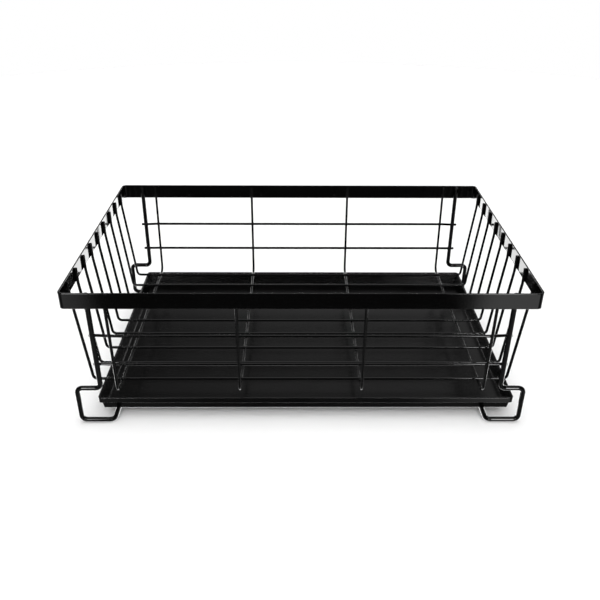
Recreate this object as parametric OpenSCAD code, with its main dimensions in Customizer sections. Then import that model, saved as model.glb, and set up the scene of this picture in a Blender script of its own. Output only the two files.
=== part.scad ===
// Dish drying rack: a wire basket hung from a flat steel band, two sled legs and a drip tray.
// Millimetres, +Z up, +X to the right, -Y to the front.
// The origin is on the counter, at the centre of the rack's footprint.

/* [Rim band] */
// Width of the rack over the band, left to right
rim_w = 430; // [380:5:480]
// Depth of the rack over the band, front to back
rim_d = 276; // [240:2:320]
// Height of the band's top edge above the counter
rim_top = 146; // [130:1:170]
// Height of the band strip
band_h = 16; // [12:1:22]
// Thickness of the band strip, with round edges
band_t = 1.6; // [1.2:0.1:2.4]
// Outer bend radius at the band's corners
band_corner_r = 5; // [4:0.5:12]

/* [Basket wires] */
// Diameter of the basket and rail wires
wire_d = 2.9; // [2.2:0.1:3.2]
// How far two welded wires sink into each other
weld_sink = 0.3; // [0.1:0.05:0.4]
// Gap between the band's top edge and the wire ends behind it
end_gap = 2; // [1:0.5:5]
// Number of cross wires, left to right
cross_count = 9; // [5:2:9]
// Distance between neighbouring cross wires
cross_pitch = 28; // [24:0.5:29]
// Width of a cross wire between its bottom corners
cross_floor_w = 405; // [385:1:410]
// Number of long wires, front to back
long_count = 4; // [3:1:4]
// Distance between the outermost long wires
long_span = 350; // [320:5:360]
// Drop from the band's top edge to the centre of the long wires' floor run
basket_drop = 111.5; // [100:0.5:112]
// How far the front and rear faces lean in between the band and the basket floor
face_lean = 4.5; // [2:0.5:8]
// Bend radius of the cross wires where the basket's sides meet its floor
cross_bend_r = 4.5; // [4:0.5:10]
// Bend radius of the long wires where the front and rear faces meet the floor
long_bend_r = 8; // [5:0.5:12]

/* [Rails] */
// Drop from the band's top edge to the upper rails
rail_drop_upper = 48; // [36:1:56]
// Drop from the band's top edge to the lower rails
rail_drop_lower = 80; // [66:1:92]
// How far a rail's end stands out past the centre of the leg wire
rail_stub = 4.2; // [3.5:0.1:8]

/* [Legs] */
// Diameter of the leg wires
leg_d = 4.9; // [4:0.1:5.2]
// Distance between the two legs' upper parts
leg_span = 381; // [376:1:384]
// How far a leg leans in between the band and the counter
leg_lean = 2.5; // [1:0.5:5]
// Drop from the band's top edge to the legs' outward step
step_drop = 105.5; // [100:0.5:110]
// Distance between the two feet's outer uprights
foot_span = 427; // [420:1:440]
// Distance between the two floor rails that carry the tray
sled_span = 364; // [350:1:372]
// Bend radius at both ends of the outward step
step_bend_r = 5.5; // [4.5:0.5:6.5]
// Bend radius where an outer upright meets the floor
foot_bend_r = 5; // [4.5:0.5:9]
// Bend radius where a foot turns into its floor rail
sled_bend_r = 5; // [4.5:0.5:12]

/* [Drip tray] */
// Width of the tray over its rolled rim
tray_w = 409; // [396:1:412]
// Depth of the tray over its rolled rim
tray_d = 274; // [250:1:290]
// Height of the tray
tray_h = 16; // [12:0.5:20]
// Thickness of the tray sheet
tray_t = 0.8; // [0.6:0.1:1.2]
// Outer corner radius of the tray's rolled rim
tray_corner_r = 4; // [2:0.5:5]
// Height of the rolled rim
hem_h = 6; // [4:0.5:7]
// Thickness of the rolled rim
hem_t = 2; // [1.8:0.1:2.4]
// How far the tray wall leans in from the rim to the floor bend
wall_lean = 2.8; // [1.4:0.2:4]
// Outer radius of the bend between the tray's wall and floor
tray_bend_r = 2.6; // [1.6:0.2:4]
// How far the tray sits behind the centre of the rack when it is pushed in
tray_back = 14.5; // [0:0.5:20]
// How far the loose tray lies to the right of the middle
tray_right = 5.5; // [-5:0.5:6]
// Gap between the tray and the floor rails
tray_gap = 0.3; // [0.2:0.1:0.5]

/* [Hidden] */
$fn = 32;

// Centre planes of the uprights that are welded behind the band
band_inner_x = rim_w / 2 - band_t;
band_inner_y = rim_d / 2 - band_t;
cross_top_x = band_inner_x - wire_d / 2 + weld_sink;
long_top_y = band_inner_y - wire_d / 2 + weld_sink;
leg_top_y = band_inner_y - leg_d / 2 + weld_sink;

// Heights of wire centres
end_z = rim_top - end_gap;
knee_z = rim_top - band_h - 1;
long_z = rim_top - basket_drop;
cross_z = long_z + wire_d - weld_sink;
step_z = rim_top - step_drop;
floor_z = leg_d / 2;
tray_z = leg_d + tray_gap;

// Radius of the slight knee below the band, where an upright starts to lean in,
// and of the slight ease of a rail between a wire and a leg
knee_r = 45;
ease_r = 40;
face_slope = face_lean / (knee_z - long_z);
leg_slope = leg_lean / (knee_z - floor_z);

// Half spans
leg_x = leg_span / 2;
foot_x = foot_span / 2;
sled_x = sled_span / 2;
long_step = long_span / (long_count - 1);

// A bend is this much fatter than its bar, and the bar's end runs up to this far into it,
// so that the two make one clean solid
bend_swell = 0.02;
bar_overlap = 0.2;

// Radii of the tray's rolled rim at its crest and its lower lip, and the inset of the floor bend
hem_r = hem_t / 2;
lip_r = (hem_t - tray_t) / 2;
bend_inset = hem_t + wall_lean + tray_bend_r - tray_t;

// Segments in each round stretch of the tray's outline
arc_steps = 6;

function numbered(base, count) = [for (i = [1:count]) str(base, i)];

// Distance of a leaning upright from the rack's middle plane at height z
function long_y(z) = long_top_y - face_slope * (knee_z - z);
function leg_y(z) = leg_top_y - leg_slope * (knee_z - z);

function unit(v) = v / norm(v);
function turn(a, b) = acos(unit(a) * unit(b));
function setback(a, b, r) = r * tan(turn(a, b) / 2);
function shortened(back) = back - min(bar_overlap, back / 2);
function flip_x(points) = [for (i = [len(points) - 1:-1:0]) [-points[i].x, points[i].y, points[i].z]];
function flip_y(points) = [for (i = [len(points) - 1:-1:0]) [points[i].x, -points[i].y, points[i].z]];
function reversed(list) = [for (i = [len(list) - 1:-1:0]) list[i]];
function arc(centre, r, from, to) =
    [for (i = [0:arc_steps]) let (a = from + (to - from) * i / arc_steps)
        centre + r * [cos(a), sin(a)]];

// A round bar from one point to another
module bar(from, to, d) {
    v = to - from;
    translate(from)
        rotate([0, acos(v.z / norm(v)), atan2(v.y, v.x)])
            cylinder(d = d, h = norm(v));
}

// A round bend at corner, from direction into to direction out
module bend(corner, into, out, d, r) {
    start = corner - unit(into) * setback(into, out, r);
    side = unit(cross(cross(into, out), into));
    centre = start + side * r;
    x_axis = -side;
    y_axis = unit(into);
    z_axis = cross(x_axis, y_axis);
    multmatrix([
        [x_axis.x, y_axis.x, z_axis.x, centre.x],
        [x_axis.y, y_axis.y, z_axis.y, centre.y],
        [x_axis.z, y_axis.z, z_axis.z, centre.z],
        [0, 0, 0, 1]
    ])
        rotate_extrude(angle = turn(into, out))
            translate([r, 0])
                circle(d = d + bend_swell);
}

// One wire through points, with radii[i] as the bend radius at points[i]
module bent_wire(points, radii, d) {
    last = len(points) - 1;
    runs = [for (i = [0:last - 1]) points[i + 1] - points[i]];
    cuts = [for (i = [0:last])
        i == 0 || i == last ? 0 : shortened(setback(runs[i - 1], runs[i], radii[i]))];
    for (i = [0:last - 1])
        bar(points[i] + unit(runs[i]) * cuts[i], points[i + 1] - unit(runs[i]) * cuts[i + 1], d);
    for (i = [1:last - 1])
        bend(points[i], runs[i - 1], runs[i], d, radii[i]);
}

// Section of the band: a flat strip with round edges, from radius 0 inwards
module band_section() {
    translate([-band_t, band_t / 2])
        square([band_t, band_h - band_t]);
    for (z = [band_t / 2, band_h - band_t / 2])
        translate([-band_t / 2, z])
            circle(d = band_t);
}

// A section swept round a rectangle of outer size w by d with outer corner radius r.
// The section's x = 0 is the outer edge and its y is the height.
module swept_ring(w, d, r) {
    for (side = [0:3]) {
        run = (side % 2 == 0 ? w : d) - 2 * r;
        reach = (side % 2 == 0 ? d : w) / 2;
        rotate(90 * side) {
            translate([-run / 2, -reach, 0])
                rotate([90, 0, 90])
                    linear_extrude(run)
                        mirror([1, 0])
                            children();
            translate([run / 2, -reach + r, 0])
                rotate(-90)
                    rotate_extrude(angle = 90)
                        translate([r, 0])
                            children();
        }
    }
}

module rim_band() {
    color("#17181a")
        translate([0, 0, rim_top - band_h])
            swept_ring(rim_w, rim_d, band_corner_r)
                band_section();
}

module cross_wire(index) {
    y = (index - (cross_count + 1) / 2) * cross_pitch;
    left = [
        [-cross_top_x, y, end_z],
        [-cross_top_x, y, knee_z],
        [-cross_floor_w / 2, y, cross_z]
    ];
    radii = [0, knee_r, cross_bend_r];
    color("#1c1d1f")
        bent_wire(concat(left, flip_x(left)), concat(radii, reversed(radii)), wire_d);
}

module long_wire(index) {
    x = (index - (long_count + 1) / 2) * long_step;
    front = [
        [x, -long_top_y, end_z],
        [x, -long_top_y, knee_z],
        [x, -long_y(long_z), long_z]
    ];
    radii = [0, knee_r, long_bend_r];
    color("#222326")
        bent_wire(concat(front, flip_y(front)), concat(radii, reversed(radii)), wire_d);
}

// A rail lies on the inner side of the uprights and eases round the thicker legs.
// face is -1 for the front and 1 for the rear.
module face_rail(face, drop) {
    z = rim_top - drop;
    y_mid = long_y(z) - wire_d + weld_sink;
    y_leg = leg_y(z) - (leg_d + wire_d) / 2 + weld_sink;
    ease_start = long_span / 2 + wire_d / 2;
    ease_end = leg_x - leg_d / 2;
    left = [
        [-leg_x - rail_stub, face * y_leg, z],
        [-ease_end, face * y_leg, z],
        [-ease_start, face * y_mid, z]
    ];
    radii = [0, ease_r, ease_r];
    color("#2a2b2e")
        bent_wire(concat(left, flip_x(left)), concat(radii, reversed(radii)), wire_d);
}

// A leg comes down behind the band, steps out to clear the tray, turns in along the counter
// and runs back under the tray as a floor rail to the same shape at the rear.
// side is -1 for the left and 1 for the right.
module leg_wire(side) {
    front = [
        [side * leg_x, -leg_top_y, end_z],
        [side * leg_x, -leg_top_y, knee_z],
        [side * leg_x, -leg_y(step_z), step_z],
        [side * foot_x, -leg_y(step_z), step_z],
        [side * foot_x, -leg_y(floor_z), floor_z],
        [side * sled_x, -leg_y(floor_z), floor_z]
    ];
    radii = [0, knee_r, step_bend_r, step_bend_r, foot_bend_r, sled_bend_r];
    color("#111214")
        bent_wire(concat(front, flip_y(front)), concat(radii, reversed(radii)), leg_d);
}

// Outline of the tray's outside, from the rim's crest round the rolled rim, down the wall
// and round the floor bend. x = 0 is the rim's outer face.
function tray_outside() = concat(
    arc([-hem_r, tray_h - hem_r], hem_r, 90, 0),
    arc([-lip_r, tray_h - hem_h + lip_r], lip_r, 0, -180),
    arc([-bend_inset, tray_bend_r], tray_bend_r, 0, -90)
);

// Outline of the tray's inside, from above the rim's crest down to the floor
function tray_inside() = concat(
    [[-hem_r, tray_h + 1]],
    arc([-hem_r, tray_h - hem_r], hem_r, 90, 180),
    arc([-bend_inset, tray_bend_r], tray_bend_r - tray_t, 0, -90)
);

// A half outline and its mirror image, span wide
module whole_outline(half, span) {
    right = [for (p = half) [span / 2 + p.x, p.y]];
    polygon(concat(right, reversed([for (p = right) [-p.x, p.y]])));
}

// A solid with the same outline seen from the front and from the side, so its corners are mitred
module mitred_block(half) {
    intersection() {
        rotate([90, 0, 0])
            linear_extrude(tray_d + 2, center = true)
                whole_outline(half, tray_w);
        rotate([90, 0, 90])
            linear_extrude(tray_w + 2, center = true)
                whole_outline(half, tray_d);
    }
}

// An upright block with round corners, w by d
module round_block(w, d, r, h) {
    translate([r - w / 2, -d / 2, 0])
        cube([w - 2 * r, d, h]);
    translate([-w / 2, r - d / 2, 0])
        cube([w, d - 2 * r, h]);
    for (x = [-1, 1], y = [-1, 1])
        translate([x * (w / 2 - r), y * (d / 2 - r), 0])
            cylinder(r = r, h = h);
}

module drip_tray() {
    color("#1a1a1c")
        translate([tray_right, tray_back, tray_z])
            difference() {
                intersection() {
                    mitred_block(tray_outside());
                    translate([0, 0, -1])
                        round_block(tray_w, tray_d, tray_corner_r, tray_h + 2);
                }
                mitred_block(tray_inside());
            }
}

rim_band();
for (i = [1:cross_count])
    cross_wire(i);
for (i = [1:long_count])
    long_wire(i);
face_rail(-1, rail_drop_upper);  // front_rail_upper
face_rail(-1, rail_drop_lower);  // front_rail_lower
face_rail(1, rail_drop_upper);  // rear_rail_upper
face_rail(1, rail_drop_lower);  // rear_rail_lower
leg_wire(-1);  // leg_wire_left
leg_wire(1);  // leg_wire_right
drip_tray();
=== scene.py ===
import math

import bmesh
import bpy
from mathutils import Matrix, Vector, noise


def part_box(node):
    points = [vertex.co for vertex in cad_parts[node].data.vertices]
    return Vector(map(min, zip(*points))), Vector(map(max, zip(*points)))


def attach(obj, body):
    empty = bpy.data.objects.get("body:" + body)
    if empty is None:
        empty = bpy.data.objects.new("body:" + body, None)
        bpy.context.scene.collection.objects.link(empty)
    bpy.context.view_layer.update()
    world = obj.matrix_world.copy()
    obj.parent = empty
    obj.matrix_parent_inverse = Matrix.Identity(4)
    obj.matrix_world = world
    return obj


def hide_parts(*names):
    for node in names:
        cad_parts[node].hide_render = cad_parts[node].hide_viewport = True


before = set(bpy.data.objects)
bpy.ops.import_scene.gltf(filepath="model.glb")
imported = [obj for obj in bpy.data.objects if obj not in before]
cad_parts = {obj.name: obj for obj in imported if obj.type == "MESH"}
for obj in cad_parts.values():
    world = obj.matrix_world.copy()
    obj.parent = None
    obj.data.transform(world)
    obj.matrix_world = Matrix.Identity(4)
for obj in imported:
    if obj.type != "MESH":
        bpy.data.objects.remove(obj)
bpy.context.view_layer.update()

X, Y, Z = Vector((1, 0, 0)), Vector((0, 1, 0)), Vector((0, 0, 1))

# ---------------------------------------------------------------- sizes, in metres
# Places come from the boxes of the CAD nodes. These are the sizes that a box doesn't tell.
# The radius of a wire's bend is that of the wire's middle line.
MM = 0.001
WIRE_R = 1.45 * MM         # basket wires and rails
LEG_R = 2.45 * MM
SINK = 0.3 * MM            # how far welded wires sink into each other
END_ROUND = 0.5 * MM       # rounding of a wire's cut and coated end
BAND_T = 1.6 * MM
BAND_CORNER_R = 5 * MM

KNEE_DROP = 17 * MM        # from the band's top edge to where an upright starts to lean
KNEE_R = 45 * MM
FACE_LEAN = 4.5 * MM       # how far the front and rear faces lean in, down to the basket floor
CROSS_BEND_R = 4.5 * MM
LONG_BEND_R = 8 * MM
FLOOR_HALF_W = 202.5 * MM  # half of the basket floor's width
RAIL_EASE_R = 40 * MM      # the slight bends of a rail between the long wires and the legs

LEG_X = 190.5 * MM         # middle of a leg's uprights
LEG_LEAN = 2.5 * MM        # how far a leg leans in, down to the counter
STEP_DROP = 105.5 * MM     # from the band's top edge to a leg's step outwards
STEP_R = 5.5 * MM
FOOT_R = 5 * MM
SLED_X = 182 * MM          # middle of a leg's run under the tray
SLED_R = 5 * MM

TRAY_H = 16 * MM
TRAY_T = 0.8 * MM
TRAY_CORNER_R = 4 * MM
FOLD_R = 0.6 * MM          # inside radius of the tray's folded corners
HEM_H = 6 * MM             # how far the rim's fold comes down
HEM_T = 2 * MM
WALL_LEAN = 2.8 * MM       # how far a tray wall leans out, up to its rim
TRAY_BEND_R = 2.6 * MM     # outside of the bend between floor and wall

# ---------------------------------------------------------------- welds, in half sizes
WELD_R = 1.6 * MM          # half width of a weld between two wires
WELD_H = 0.85 * MM         # half its height
RAIL_WELD_PAST = 0.2 * MM  # how far a rail's weld stands out beside the upright
BAND_WELD_L = 6 * MM       # half length of a weld behind the band, along the upright
BAND_WELD_H = 0.55 * MM    # half its height
BAND_WELD_SHARE = 0.55     # half its width is this share of the wire's radius plus BAND_WELD_H
BAND_WELD_DROP = 1 * MM    # how far its middle lies below the band's
BAND_WELD_IN = 0.05 * MM   # how far its middle lies in from the band's inner face
LUMP_SCALE = 2.0           # of the noise that makes a weld uneven
LUMP_SWELL = 0.06          # how much it swells a weld at most, as a share of its size

# ---------------------------------------------------------------- mesh density
AROUND = 32                # points round a wire
RUN_STEP = 16 * MM         # spacing of the rings along a straight run
BEND_STEP = math.radians(6)  # largest turn between two rings of a wire's bend
CAP_RINGS = 5              # over a wire's rounded end
CORNER_STEPS = 16          # round a corner of the band or the tray
EDGE_STEPS = 10            # over a round edge of their profiles
GUARD_SHARE = 0.25         # spacing of the ring next to a corner, as a share of the others'
GUARD_RUN = 4 * MM         # the ring on the tray's floor that keeps it flat beside the bend
NUGGET_RINGS = 10
NUGGET_AROUND = 16
STRONG_FACES = 100         # lets the large flat faces set the shading; 50 would be neutral
MERGE_DIST = 1e-6          # two points nearer than this, in metres, are one
THIN_EDGE = 1e-7           # an edge shorter than this vanishes
MATCH = 0.06 * MM          # a finished piece fits the box of its CAD node to this


# ---------------------------------------------------------------- shader nodes
def plug(tree, value, socket):
    """Links a socket to a socket, or writes a plain value into it."""
    if isinstance(value, bpy.types.NodeSocket):
        tree.links.new(value, socket)
    else:
        socket.default_value = value


def node(tree, kind, **inputs):
    made = tree.nodes.new(kind)
    for name, value in inputs.items():
        plug(tree, value, made.inputs[name.replace("_", " ")])
    return made


def calc(tree, kind, a, b=0.0):
    made = tree.nodes.new("ShaderNodeMath")
    made.operation = kind
    plug(tree, a, made.inputs[0])
    plug(tree, b, made.inputs[1])
    return made.outputs[0]


def noise_value(tree, where, scale, detail=2.0, rough=0.5):
    return node(tree, "ShaderNodeTexNoise", Vector=where, Scale=scale, Detail=detail,
                Roughness=rough).outputs["Fac"]


def spread(tree, value, low, high, to_low, to_high):
    """value from low..high mapped to to_low..to_high."""
    return node(tree, "ShaderNodeMapRange", Value=value, From_Min=low, From_Max=high,
                To_Min=to_low, To_Max=to_high).outputs["Result"]


def grey(value):
    return (value, value, value, 1)


def mixed(tree, factor, a, b):
    """Colour a where factor is 0, and b where it is 1."""
    mix = tree.nodes.new("ShaderNodeMix")
    mix.data_type = "RGBA"
    # Its sockets for colours come after those for numbers and vectors.
    factor_in, a_in, b_in, colour_out = mix.inputs[0], mix.inputs[6], mix.inputs[7], mix.outputs[2]
    for value, socket in ((factor, factor_in), (a, a_in), (b, b_in)):
        plug(tree, value, socket)
    return colour_out


def bumped(tree, height, distance, normal=None):
    bump = node(tree, "ShaderNodeBump", Height=height, Distance=distance, Strength=1.0)
    if normal:
        tree.links.new(normal, bump.inputs["Normal"])
    return bump.outputs["Normal"]


# ---------------------------------------------------------------- coats
COAT_IOR = 1.5
NOISE_SPAN = (0.3, 0.7)    # a noise texture's values lie mostly between these
PATCH_SCALE = 45           # slow patches of gloss and wear
GRAIN_SCALE = 900          # fine unevenness of the gloss
GRAIN_SWING = 0.02
DUST_SCALE = 260
DUST_EDGE, DUST_CORE = 0.055, 0.03
BLACK, BLACK_DUST = (0.0003, 0.0006), 0.006


def coat(name, shades, speck, gloss, peel, wave):
    """A black coat on steel: uneven gloss, orange peel, slow waviness and a few dust specks.
    shades are its deepest and its most worn grey, and gloss its least and greatest roughness.
    peel and wave are each a depth and the scale of their noise."""
    material = bpy.data.materials.new(name)
    material.use_nodes = True
    tree = material.node_tree
    shader = tree.nodes["Principled BSDF"]
    shader.inputs["IOR"].default_value = COAT_IOR
    where = tree.nodes.new("ShaderNodeTexCoord").outputs["Object"]
    patch = noise_value(tree, where, PATCH_SCALE, detail=3)
    grain = noise_value(tree, where, GRAIN_SCALE)
    cells = node(tree, "ShaderNodeTexVoronoi", Vector=where, Scale=DUST_SCALE).outputs["Distance"]
    dust = spread(tree, cells, DUST_EDGE, DUST_CORE, 0, 1)
    worn = spread(tree, patch, *NOISE_SPAN, 0, 1)
    shade = mixed(tree, worn, grey(shades[0]), grey(shades[1]))
    tree.links.new(mixed(tree, dust, shade, grey(speck)), shader.inputs["Base Color"])
    uneven = spread(tree, patch, *NOISE_SPAN, *gloss)
    fine = spread(tree, grain, *NOISE_SPAN, -GRAIN_SWING, GRAIN_SWING)
    tree.links.new(calc(tree, "ADD", uneven, fine), shader.inputs["Roughness"])
    wave_depth, wave_scale = wave
    peel_depth, peel_scale = peel
    slow = bumped(tree, noise_value(tree, where, wave_scale, detail=1), wave_depth)
    skin = bumped(tree, noise_value(tree, where, peel_scale, rough=0.4), peel_depth, slow)
    tree.links.new(skin, shader.inputs["Normal"])
    return material


COATS = {
    "band_coat": coat("band_coat", shades=BLACK, speck=BLACK_DUST, gloss=(0.04, 0.08),
                      peel=(0.006 * MM, 620), wave=(0.03 * MM, 30)),
    "wire_coat": coat("wire_coat", shades=BLACK, speck=BLACK_DUST, gloss=(0.07, 0.12),
                      peel=(0.004 * MM, 800), wave=(0.01 * MM, 60)),
    "rail_coat": coat("rail_coat", shades=BLACK, speck=BLACK_DUST, gloss=(0.07, 0.12),
                      peel=(0.004 * MM, 780), wave=(0.01 * MM, 55)),
    "leg_coat": coat("leg_coat", shades=BLACK, speck=BLACK_DUST, gloss=(0.05, 0.1),
                     peel=(0.005 * MM, 700), wave=(0.015 * MM, 50)),
    "tray_coat": coat("tray_coat", shades=(0.0007, 0.0014), speck=0.008, gloss=(0.19, 0.24),
                      peel=(0.012 * MM, 1500), wave=(0.3 * MM, 9)),
}


# ---------------------------------------------------------------- building pieces
def new_piece(name, verts, faces, body, slot, nodes):
    """A smooth closed mesh that rides on a body and stands for CAD nodes."""
    mesh = bpy.data.meshes.new(name)
    mesh.from_pydata([tuple(v) for v in verts], [], faces)
    work = bmesh.new()
    work.from_mesh(mesh)
    bmesh.ops.recalc_face_normals(work, faces=work.faces)
    for face in work.faces:
        face.smooth = True
    work.to_mesh(mesh)
    work.free()
    piece = bpy.data.objects.new(name, mesh)
    bpy.context.scene.collection.objects.link(piece)
    mesh.materials.append(COATS[slot])
    piece.modifiers.new("flat faces shade flat", "WEIGHTED_NORMAL").weight = STRONG_FACES
    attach(piece, body)
    if nodes:
        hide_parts(*nodes)
        for name_of_node in nodes:
            check_match(piece, name_of_node)


def check_match(piece, name_of_node):
    """Stops the script if a piece doesn't fill the box of the CAD node that it replaces."""
    lo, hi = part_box(name_of_node)
    for axis in range(3):
        along = [v.co[axis] for v in piece.data.vertices]
        off = max(abs(min(along) - lo[axis]), abs(max(along) - hi[axis]))
        if off > MATCH:
            raise ValueError(f"{piece.name} is {off / MM:.3f} mm off the box of {name_of_node}")


def filleted(points, radii):
    """Centres and directions along a line through points, with a round bend at each inner one."""
    points = [Vector(p) for p in points]
    last = len(points) - 1
    stations = []
    cursor = points[0]
    for i in range(1, last + 1):
        along = (points[i] - points[i - 1]).normalized()
        onward = (points[i + 1] - points[i]).normalized() if i < last else along
        turn = along.angle(onward) if i < last else 0
        back = radii[i] * math.tan(turn / 2)
        end = points[i] - along * back
        steps = max(1, math.ceil((end - cursor).length / RUN_STEP))
        stations += [(cursor.lerp(end, k / steps), along) for k in range(steps + 1)]
        if i < last:
            axis = along.cross(onward).normalized()
            centre = end + axis.cross(along) * radii[i]
            count = max(2, math.ceil(turn / BEND_STEP))
            for k in range(1, count):
                spin = Matrix.Rotation(turn * k / count, 3, axis)
                stations.append((centre + spin @ (end - centre), spin @ along))
            cursor = points[i] + onward * back
    return stations


def end_rings(end, inward, r):
    """Centres and radii of the rings over a wire's rounded end, from the cut face inwards."""
    found = []
    for k in reversed(range(CAP_RINGS + 1)):
        t = math.pi / 2 * k / CAP_RINGS
        found.append((end + inward * END_ROUND * (1 - math.sin(t)),
                      r - END_ROUND * (1 - math.cos(t))))
    return found


def wire_mesh(points, radii, r):
    """A round wire along a filleted line, with rounded cut ends."""
    stations = filleted(points, radii)
    first, start_dir = stations[0]
    final, end_dir = stations[-1]
    rings = [(centre, start_dir, radius) for centre, radius in end_rings(first, start_dir, r)]
    rings += [(centre, direction, r) for centre, direction in stations[1:-1]]
    rings += [(centre, end_dir, radius)
              for centre, radius in reversed(end_rings(final, -end_dir, r))]
    side = start_dir.orthogonal().normalized()
    before = start_dir
    verts, faces = [], []
    for centre, direction, radius in rings:
        side = before.rotation_difference(direction) @ side
        side = (side - direction * side.dot(direction)).normalized()
        other = direction.cross(side)
        before = direction
        for k in range(AROUND):
            a = 2 * math.pi * k / AROUND
            verts.append(centre + (side * math.cos(a) + other * math.sin(a)) * radius)
    for i in range(len(rings) - 1):
        for k in range(AROUND):
            a, b = i * AROUND + k, i * AROUND + (k + 1) % AROUND
            faces.append((a, b, b + AROUND, a + AROUND))
    for ring, centre in ((0, first), (len(rings) - 1, final)):
        hub = len(verts)
        verts.append(centre)
        for k in range(AROUND):
            faces.append((ring * AROUND + k, ring * AROUND + (k + 1) % AROUND, hub))
    return verts, faces


def stations_round(lo, hi):
    """Stations round a rectangle: the two corners that each lies between, its share of the way
    from one to the other, and the way out. A corner is its place and its signs in x and y."""
    corners = [(hi.x, lo.y, 1, -1), (hi.x, hi.y, 1, 1), (lo.x, hi.y, -1, 1), (lo.x, lo.y, -1, -1)]
    found = []
    for turn, here, onward in zip((270, 0, 90, 180), corners, corners[1:] + corners[:1]):
        for k in range(CORNER_STEPS + 1):
            a = math.radians(turn + 90 * k / CORNER_STEPS)
            way_out = Vector((math.cos(a), math.sin(a), 0))
            found.append((here, here, 0, way_out))
        length = abs(here[0] - onward[0]) + abs(here[1] - onward[1])
        count = max(2, round(length / RUN_STEP))
        guard = GUARD_SHARE / count
        shares = [guard] + [k / count for k in range(1, count)] + [1 - guard]
        found += [(here, onward, share, way_out) for share in shares]
    return found


def stepped_in(corner, depth):
    x, y, sign_x, sign_y = corner
    return Vector((x - sign_x * depth, y - sign_y * depth, 0))


def sweep(profile, lo, hi, corner_r, closed):
    """A profile of (distance in from the outer face, height) swept round a rectangle.
    A point further in turns on a smaller radius, down to that of a folded corner. An open
    profile is closed by a flat face between its first points and one between its last."""
    around = stations_round(lo, hi)
    verts, faces = [], []
    for here, onward, share, way_out in around:
        for inset, height in profile:
            r = max(corner_r - inset, FOLD_R)
            centre = stepped_in(here, inset + r).lerp(stepped_in(onward, inset + r), share)
            p = centre + way_out * r
            verts.append(Vector((p.x, p.y, lo.z + height)))
    n, m = len(around), len(profile)
    for i in range(n):
        j = (i + 1) % n
        for k in range(m if closed else m - 1):
            q = (k + 1) % m
            faces.append((i * m + k, j * m + k, j * m + q, i * m + q))
    if not closed:
        faces.append(tuple(i * m for i in range(n)))
        faces.append(tuple(i * m + m - 1 for i in range(n)))
    return verts, faces


def arc(centre, r, start, end, steps=EDGE_STEPS):
    """Points of an arc, as (inset, height). Angle 0 points outwards and 90 up."""
    out = []
    for k in range(steps + 1):
        a = math.radians(start + (end - start) * k / steps)
        out.append((centre[0] - r * math.cos(a), centre[1] + r * math.sin(a)))
    return out


def nodes_named(start):
    return sorted(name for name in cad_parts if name.startswith(start))


def wire(name, half, radii, axis, r, slot):
    """A wire from half of its line. The other half mirrors it along axis 0, x, or 1, y."""
    other_half = []
    for point in reversed(half):
        flipped = list(point)
        flipped[axis] = -flipped[axis]
        other_half.append(tuple(flipped))
    verts, faces = wire_mesh(half + other_half, radii + radii[::-1], r)
    new_piece(name + "_finished", verts, faces, "rack", slot, [name])


# Where the welds go: on the floor a middle, on the rails a middle and the upright's radius, and on
# the band a place on its outer face, the way in and the wire's radius.
floor_joints, rail_joints, band_joints = [], [], []

# ---------------------------------------------------------------- the band
band_lo, band_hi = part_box("rim_band")
band_h = band_hi.z - band_lo.z
edge_r = BAND_T / 2
bottom_edge = arc((edge_r, edge_r), edge_r, 0, -180)
top_edge = arc((edge_r, band_h - edge_r), edge_r, 180, 0)
band_profile = bottom_edge + top_edge
new_piece("rim_band_finished", *sweep(band_profile, band_lo, band_hi, BAND_CORNER_R, closed=True),
          "rack", "band_coat", ["rim_band"])

# ---------------------------------------------------------------- cross wires
knee_z = band_hi.z - KNEE_DROP
long_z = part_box("long_wire_1")[0].z + WIRE_R
long_boxes = [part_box(name) for name in nodes_named("long_wire_")]
long_x = [(lo.x + hi.x) / 2 for lo, hi in long_boxes]

for name in nodes_named("cross_wire_"):
    lo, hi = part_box(name)
    y, top_x, cross_z = (lo.y + hi.y) / 2, hi.x - WIRE_R, lo.z + WIRE_R
    wire(name, [(-top_x, y, hi.z), (-top_x, y, knee_z), (-FLOOR_HALF_W, y, cross_z)],
         [0, KNEE_R, CROSS_BEND_R], axis=0, r=WIRE_R, slot="wire_coat")
    band_joints += [(Vector((s * band_hi.x, y, 0)), Vector((-s, 0, 0)), WIRE_R) for s in (-1, 1)]
    floor_joints += [Vector((x, y, (cross_z + long_z) / 2)) for x in long_x]

# ---------------------------------------------------------------- long wires
for name, x in zip(nodes_named("long_wire_"), long_x):
    lo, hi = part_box(name)
    top_y = hi.y - WIRE_R
    wire(name, [(x, -top_y, hi.z), (x, -top_y, knee_z), (x, FACE_LEAN - top_y, long_z)],
         [0, KNEE_R, LONG_BEND_R], axis=1, r=WIRE_R, slot="wire_coat")
    band_joints += [(Vector((x, s * band_hi.y, 0)), Vector((0, -s, 0)), WIRE_R) for s in (-1, 1)]

# ---------------------------------------------------------------- rails
for name in nodes_named("front_rail_") + nodes_named("rear_rail_"):
    lo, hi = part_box(name)
    face = -1 if name.startswith("front") else 1
    near, far = sorted((abs(lo.y), abs(hi.y)))
    y_leg, y_mid, z = face * (near + WIRE_R), face * (far - WIRE_R), (lo.z + hi.z) / 2
    ease_from, ease_to = LEG_X - LEG_R, max(long_x) + WIRE_R
    wire(name, [(lo.x, y_leg, z), (-ease_from, y_leg, z), (-ease_to, y_mid, z)],
         [0, RAIL_EASE_R, RAIL_EASE_R], axis=0, r=WIRE_R, slot="rail_coat")
    out = face * (WIRE_R - SINK / 2)
    rail_joints += [(Vector((x, y_mid + out, z)), WIRE_R) for x in long_x]
    rail_joints += [(Vector((s * LEG_X, y_leg + out, z)), LEG_R) for s in (-1, 1)]

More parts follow.
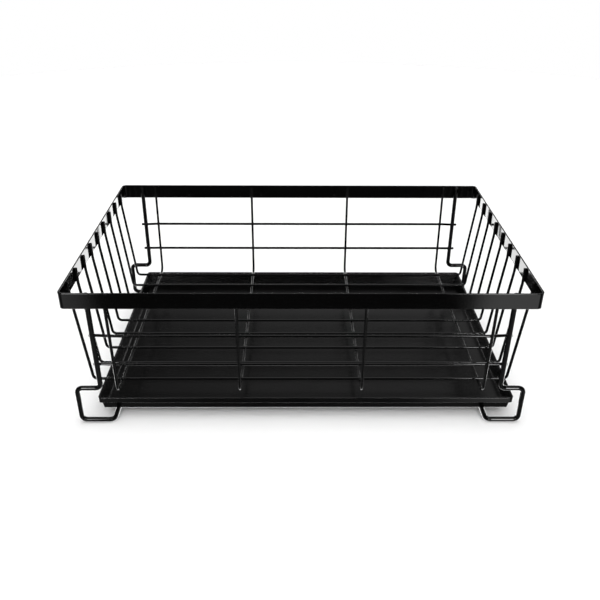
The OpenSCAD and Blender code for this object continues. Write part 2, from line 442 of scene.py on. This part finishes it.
# ---------------------------------------------------------------- legs
for name in nodes_named("leg_wire_"):
    lo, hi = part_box(name)
    side = 1 if hi.x > 0 else -1
    leg_x, sled_x = side * LEG_X, side * SLED_X
    foot_x = side * (max(abs(lo.x), abs(hi.x)) - LEG_R)
    top_y, floor_z, step_z = hi.y - LEG_R, lo.z + LEG_R, band_hi.z - STEP_DROP
    foot_y = top_y - LEG_LEAN
    step_y = top_y - LEG_LEAN * (knee_z - step_z) / (knee_z - floor_z)
    wire(name, [(leg_x, -top_y, hi.z), (leg_x, -top_y, knee_z), (leg_x, -step_y, step_z),
                (foot_x, -step_y, step_z), (foot_x, -foot_y, floor_z), (sled_x, -foot_y, floor_z)],
         [0, KNEE_R, STEP_R, STEP_R, FOOT_R, SLED_R], axis=1, r=LEG_R, slot="leg_coat")
    band_joints += [(Vector((leg_x, s * band_hi.y, 0)), Vector((0, -s, 0)), LEG_R)
                    for s in (-1, 1)]


# ---------------------------------------------------------------- welds
def nugget(verts, faces, centre, axes, sizes, seed):
    """Adds a rounded lump of weld under the coat, slightly uneven."""
    start = len(verts)
    for i in range(NUGGET_RINGS + 1):
        t = math.pi * i / NUGGET_RINGS
        for k in range(NUGGET_AROUND):
            a = 2 * math.pi * k / NUGGET_AROUND
            way = Vector((math.sin(t) * math.cos(a), math.sin(t) * math.sin(a), math.cos(t)))
            swell = 1 + LUMP_SWELL * noise.noise(way * LUMP_SCALE + Vector((seed, 0, 0)))
            p = sum((axes[j] * way[j] * sizes[j] * swell for j in range(3)), Vector())
            verts.append(centre + p)
    for i in range(NUGGET_RINGS):
        for k in range(NUGGET_AROUND):
            a = start + i * NUGGET_AROUND + k
            b = start + i * NUGGET_AROUND + (k + 1) % NUGGET_AROUND
            faces.append((a, b, b + NUGGET_AROUND, a + NUGGET_AROUND))


def cleaned(verts, faces):
    """Merges the points that meet at the lumps' poles and drops the faces that vanish."""
    work = bmesh.new()
    made = [work.verts.new(v) for v in verts]
    for face in faces:
        work.faces.new([made[i] for i in face])
    bmesh.ops.remove_doubles(work, verts=work.verts, dist=MERGE_DIST)
    bmesh.ops.dissolve_degenerate(work, edges=work.edges, dist=THIN_EDGE)
    work.verts.index_update()
    kept_verts = [v.co.copy() for v in work.verts]
    kept_faces = [tuple(v.index for v in face.verts) for face in work.faces]
    work.free()
    return kept_verts, kept_faces


def welds(name, slot, lumps):
    """One piece of all the welds of a kind. A lump is its middle, three axes and half sizes."""
    verts, faces = [], []
    for seed, (centre, axes, sizes) in enumerate(lumps):
        nugget(verts, faces, centre, axes, sizes, seed)
    new_piece(name, *cleaned(verts, faces), "rack", slot, [])


welds("floor_welds", "wire_coat",
      [(centre, (X, Y, Z), (WELD_R, WELD_R, WELD_H)) for centre in floor_joints])

welds("rail_welds", "rail_coat",
      [(centre, (X, Z, Y), (r + RAIL_WELD_PAST, WELD_R, WELD_H)) for centre, r in rail_joints])

band_weld_z = (band_lo.z + band_hi.z - 2 * BAND_WELD_DROP) / 2
welds("band_welds", "band_coat",
      [(Vector((at.x, at.y, band_weld_z)) + inward * (BAND_T + BAND_WELD_IN),
        (Z, inward, Z.cross(inward)),
        (BAND_WELD_L, BAND_WELD_H, BAND_WELD_SHARE * r + BAND_WELD_H))
       for at, inward, r in band_joints])

# ---------------------------------------------------------------- the tray
tray_lo, tray_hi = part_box("drip_tray")
curl_r = HEM_T / 2
lip_r = TRAY_T / 2
bend_in = HEM_T + WALL_LEAN + TRAY_BEND_R - TRAY_T
bend = (bend_in, TRAY_BEND_R)
crest = (curl_r, TRAY_H - curl_r)
floor_top = [(bend_in + GUARD_RUN, TRAY_T)]
bend_inside = arc(bend, TRAY_BEND_R - TRAY_T, -90, 0)
crest_outside = arc(crest, curl_r, 180, 0, 2 * EDGE_STEPS)
hem_edge = arc((lip_r, TRAY_H - HEM_H + lip_r), lip_r, 0, -180)
crest_inside = arc(crest, curl_r - TRAY_T, 0, 180)
bend_outside = arc(bend, TRAY_BEND_R, 0, -90)
floor_bottom = [(bend_in + GUARD_RUN, 0)]
tray_profile = (floor_top + bend_inside + crest_outside + hem_edge
                + crest_inside + bend_outside + floor_bottom)
new_piece("drip_tray_finished",
          *sweep(tray_profile, tray_lo, tray_hi, TRAY_CORNER_R, closed=False),
          "tray", "tray_coat", ["drip_tray"])

# ---------------------------------------------------------------- floor
FLOOR_R, FLOOR_SIDES = 1.7, 96
PAPER_DEEP, PAPER_PALE = 0.67, 0.7
PAPER_SCALE = 3
PAPER_ROUGHNESS, PAPER_SPECULAR = 0.9, 0.1

turns = [2 * math.pi * k / FLOOR_SIDES for k in range(FLOOR_SIDES)]
mesh = bpy.data.meshes.new("floor")
mesh.from_pydata([(FLOOR_R * math.cos(a), FLOOR_R * math.sin(a), 0) for a in turns], [],
                 [tuple(range(FLOOR_SIDES))])
floor = bpy.data.objects.new("floor", mesh)
bpy.context.scene.collection.objects.link(floor)
paper = bpy.data.materials.new("floor_paper")
paper.use_nodes = True
paper_tree = paper.node_tree
paper_shader = paper_tree.nodes["Principled BSDF"]
paper_shader.inputs["Roughness"].default_value = PAPER_ROUGHNESS
paper_shader.inputs["Specular IOR Level"].default_value = PAPER_SPECULAR
paper_where = paper_tree.nodes.new("ShaderNodeTexCoord").outputs["Object"]
mottle = noise_value(paper_tree, paper_where, PAPER_SCALE)
paper_shade = mixed(paper_tree, mottle, grey(PAPER_DEEP), grey(PAPER_PALE))
paper_tree.links.new(paper_shade, paper_shader.inputs["Base Color"])
mesh.materials.append(paper)
floor.visible_glossy = False

# ---------------------------------------------------------------- studio light
# The coats mirror each other and the world, and the floor and the lamp stay out of their gloss. The
# world's light depends on direction, given by a turn in degrees, 0 at the front and positive to the
# right, and by a height from -1, straight down, to 1, straight up. Its lower part is a table. Its
# upper part has softboxes in front, panels and a wall behind, and a ceiling.
DARK = 0.04
TABLE_SIDE, TABLE_FRONT, TABLE_BACK = 0.06, 1.05, 3.4
TABLE_LEFT = 0.5           # how far the table's front is lit on the left, against 1 on the right
SOFTBOX, PANEL, CEILING = 15.0, 3.4, 1.1
WALL_LEFT, WALL_RIGHT = 0.09, 0.27
WALL_DIM = 0.2             # share of the back wall's light below and above its lit band
LIGHTS_TURN = -1.0         # the middle of all lights, a little left of the front

# Soft edges, each from where a light is gone to where it is full. Turns are from LIGHTS_TURN.
TABLE_TOP = (-0.18, -0.3)
SIDES = (16.0, 19.2)
BEHIND = (80, 125)
FRONT_TURN, FRONT_HEIGHT = (31, 25), (-0.66, -0.58)
BOX_TURNS, BOX_HEIGHTS = ((15.2, 16.4), (21, 19.5)), ((0.0, 0.06), (0.56, 0.46))
PANEL_TURNS, PANEL_HEIGHTS = ((140, 148), (165, 161)), ((-0.12, -0.04), (0.26, 0.16))
WALL_HEIGHTS = ((0.2, 0.33), (0.76, 0.62))
WALL_X = (-0.3, 0.05)      # from the wall's left light to its right one
CEILING_HEIGHT = (0.89, 0.95)

world = bpy.data.worlds.new("studio")
bpy.context.scene.world = world
world.use_nodes = True
sky = world.node_tree


def total(first, *others):
    for value in others:
        first = calc(sky, "ADD", first, value)
    return first


def product(first, *others):
    for value in others:
        first = calc(sky, "MULTIPLY", first, value)
    return first


def inside(value, *edges):
    """1 where value is within all the soft edges, and 0 beyond any of them."""
    parts = []
    for gone, full in edges:
        made = node(sky, "ShaderNodeMapRange", Value=value, From_Min=gone, From_Max=full)
        made.interpolation_type = "SMOOTHSTEP"
        parts.append(made.outputs["Result"])
    return product(*parts)


way = sky.nodes.new("ShaderNodeTexCoord").outputs["Generated"]
toward = node(sky, "ShaderNodeSeparateXYZ", Vector=way).outputs
turn = product(calc(sky, "ARCTAN2", toward["X"], product(toward["Y"], -1)), 180 / math.pi)
off_front = calc(sky, "ABSOLUTE", calc(sky, "SUBTRACT", turn, LIGHTS_TURN))
height = toward["Z"]
beside = inside(off_front, SIDES)
behind = inside(off_front, BEHIND)
below = inside(height, TABLE_TOP)

left_or_right = total((1 + TABLE_LEFT) / 2, product(calc(sky, "SIGN", turn), (1 - TABLE_LEFT) / 2))
lit_front = product(beside, inside(off_front, FRONT_TURN), inside(height, FRONT_HEIGHT),
                    left_or_right)
table = total(product(beside, TABLE_SIDE), product(lit_front, TABLE_FRONT - TABLE_SIDE),
              product(behind, TABLE_BACK))

boxes = product(inside(off_front, *BOX_TURNS), inside(height, *BOX_HEIGHTS), SOFTBOX)
panels = product(inside(off_front, *PANEL_TURNS), inside(height, *PANEL_HEIGHTS), PANEL)
ceiling = product(inside(height, CEILING_HEIGHT), CEILING)
wall_light = total(product(inside(toward["X"], WALL_X), WALL_RIGHT - WALL_LEFT), WALL_LEFT)
wall_band = total(product(inside(height, *WALL_HEIGHTS), 1 - WALL_DIM), WALL_DIM)
wall = product(wall_light, wall_band, behind)
room = total(boxes, panels, wall, ceiling)

above = calc(sky, "SUBTRACT", 1.0, below)
radiance = total(product(below, table), product(above, room), DARK)

# Seen directly, the world is plain white.
seen = sky.nodes.new("ShaderNodeLightPath").outputs["Is Camera Ray"]
unseen = calc(sky, "SUBTRACT", 1.0, seen)
backdrop = sky.nodes["Background"]
backdrop.inputs["Color"].default_value = grey(1)
sky.links.new(total(seen, product(unseen, radiance)), backdrop.inputs["Strength"])

LAMP_AT = (0, -0.5, 2.4)
LAMP_SIZE, LAMP_POWER = 11.0, 480
lamp = bpy.data.lights.new("overhead_softbox", "AREA")
lamp.shape = "DISK"
lamp.size, lamp.energy = LAMP_SIZE, LAMP_POWER
overhead = bpy.data.objects.new("overhead_softbox", lamp)
overhead.location = LAMP_AT
overhead.visible_glossy = False
bpy.context.scene.collection.objects.link(overhead)

# ---------------------------------------------------------------- camera
CAMERA_AT = Vector((-6.6, -682.7, 442.2)) * MM
PITCH, YAW, ROLL = 0.507, 0.0097, 0.0055   # down, to the right, and its right side up, in radians
LENS_MM, SENSOR_MM = 42.48, 36.0
CLIP_NEAR, CLIP_FAR = 0.01, 40
ahead = Vector((math.sin(YAW) * math.cos(PITCH), math.cos(YAW) * math.cos(PITCH), -math.sin(PITCH)))
level = Vector((math.cos(YAW), -math.sin(YAW), 0))
upright = level.cross(ahead)
right = level * math.cos(ROLL) + upright * math.sin(ROLL)
up = upright * math.cos(ROLL) - level * math.sin(ROLL)
camera_data = bpy.data.cameras.new("camera")
camera_data.lens, camera_data.sensor_width = LENS_MM, SENSOR_MM
camera_data.clip_start, camera_data.clip_end = CLIP_NEAR, CLIP_FAR
camera = bpy.data.objects.new("camera", camera_data)
camera.matrix_world = Matrix((right, up, -ahead)).transposed().to_4x4()
camera.location = CAMERA_AT
bpy.context.scene.collection.objects.link(camera)
bpy.context.scene.camera = camera
bpy.context.scene.view_settings.view_transform = "Standard"
